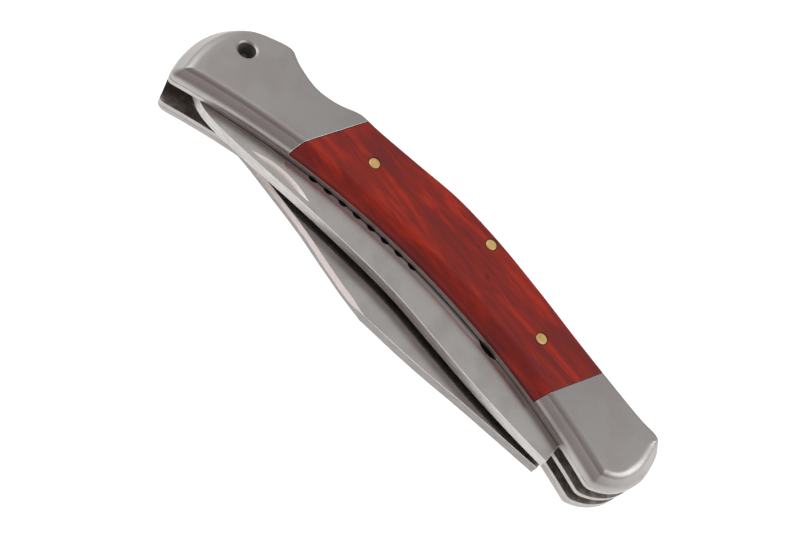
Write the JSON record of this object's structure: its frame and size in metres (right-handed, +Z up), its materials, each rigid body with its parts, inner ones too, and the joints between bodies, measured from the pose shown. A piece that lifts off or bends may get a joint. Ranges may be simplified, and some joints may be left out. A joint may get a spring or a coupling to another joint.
{
  "type": "folding pocket knife",
  "caption": "Folding pocket knife, closed, with red wood scales between steel bolsters, a serrated blade, a clip blade, back locks and a lanyard hole.",
  "frame": {"origin": "under the middle of the closed knife's bounding box, on the plane that the rear scale lies on", "axes": "+X from the pommel to the blade pivot, +Y to the back of the handle, +Z up through the stack"},
  "size_m": [0.1246, 0.032, 0.017],
  "materials": {
    "satin_steel": "satin stainless steel with a soft polish on the bevels",
    "blade_steel": "satin blade steel with a brushed spine",
    "liner_steel": "ground sheet steel",
    "spring_steel": "dull spring steel",
    "red_wood": "polished red dyed laminated wood",
    "brass": "pale brass, polished flush"
  },
  "bodies": {
    "handle": {"front_liner": "liner_steel", "middle_liner": "liner_steel", "rear_liner": "liner_steel", "butt_spacer": "satin_steel", "front_pivot_bolster": "satin_steel", "front_wood_scale": "red_wood", "front_pommel_bolster": "satin_steel", "rear_pivot_bolster": "satin_steel", "rear_wood_scale": "red_wood", "rear_pommel_bolster": "satin_steel", "front_lock_spring": "spring_steel", "rear_lock_spring": "spring_steel", "blade_pivot_pin": "satin_steel", "spring_pin": "satin_steel", "butt_pin_upper": "satin_steel", "butt_pin_lower": "satin_steel", "lock_rocker_pin": "brass", "front_tail_rivet": "brass", "rear_tail_rivet": "brass", "front_head_rivet": "brass", "rear_head_rivet": "brass"},
    "front_blade": {"serrated_blade": "blade_steel"},
    "rear_blade": {"clip_blade": "blade_steel"},
    "front_lock": {"front_lock_bar": "spring_steel"},
    "rear_lock": {"rear_lock_bar": "spring_steel"}
  },
  "joints": [
    {"name": "serrated_blade_open", "type": "hinge", "parent": "handle", "child": "front_blade", "pos_m": [0.04444, -0.00213, 0.0085], "axis": [0, 0, 1], "range_deg": [0, 180]},
    {"name": "clip_blade_open", "type": "hinge", "parent": "handle", "child": "rear_blade", "pos_m": [0.04444, -0.00213, 0.0085], "axis": [0, 0, 1], "range_deg": [0, 180]},
    {"name": "front_lock_rock", "type": "hinge", "parent": "handle", "child": "front_lock", "pos_m": [0.00868, 0.01181, 0.0085], "axis": [0, 0, -1], "range_deg": [0, 2.6], "stiffness_Nm_per_rad": 0.05, "springref_deg": 3.44},
    {"name": "rear_lock_rock", "type": "hinge", "parent": "handle", "child": "rear_lock", "pos_m": [0.00868, 0.01181, 0.0085], "axis": [0, 0, -1], "range_deg": [0, 2.6], "stiffness_Nm_per_rad": 0.05, "springref_deg": 3.44}
  ]
}
